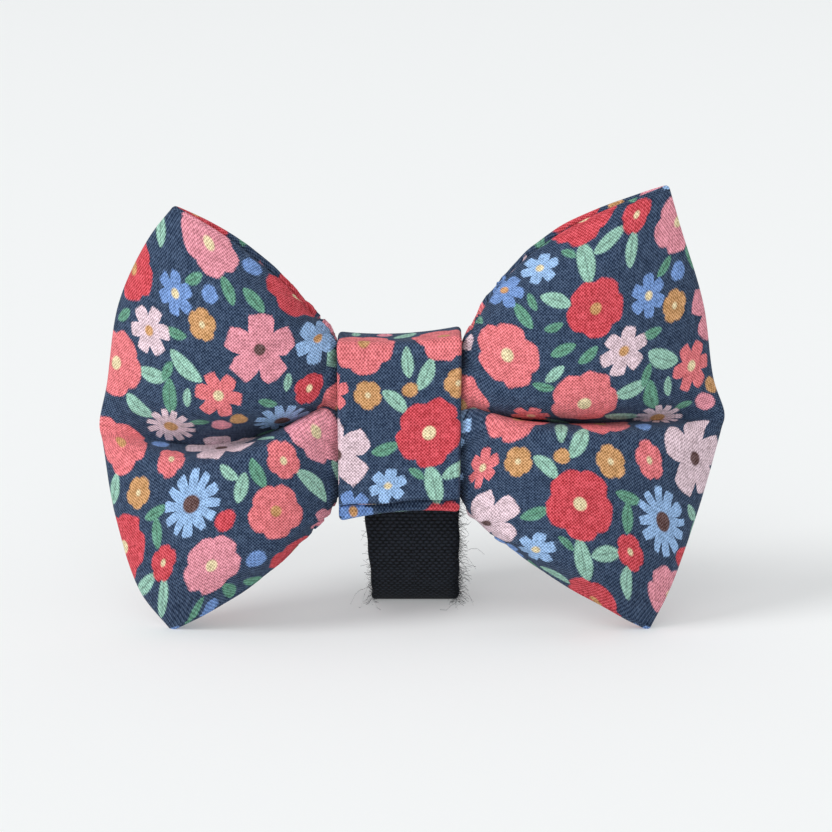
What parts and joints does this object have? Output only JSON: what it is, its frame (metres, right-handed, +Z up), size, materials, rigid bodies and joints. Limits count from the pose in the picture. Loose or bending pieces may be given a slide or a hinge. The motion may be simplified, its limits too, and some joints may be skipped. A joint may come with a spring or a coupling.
{
  "type": "pet bow tie",
  "caption": "Printed cotton bow tie for a pet: two hollow cloth wings pinched by a cloth knot, with a hook-and-loop strap behind that closes round a collar.",
  "frame": {"origin": "on the surface that the bow tie stands on, under the middle of its box", "axes": "+X along the bow towards the wearer's left wing, +Y from the knot's front to the strap behind, +Z up along the knot"},
  "size_m": [0.1254, 0.0472, 0.0884],
  "materials": {
    "bow_cloth": "plain-woven cotton with a floral print on navy, matt",
    "knot_cloth": "the same printed cotton, matt",
    "loop_tape": "black woven nylon tape with a fuzzy soft side",
    "hook_tape": "black woven nylon tape with small stiff hooks"
  },
  "bodies": {
    "root": {"bow_ring": "bow_cloth", "knot_band": "knot_cloth", "strap_loop_tape": "loop_tape", "strap_hook_tape": "hook_tape"}
  },
  "joints": []
}
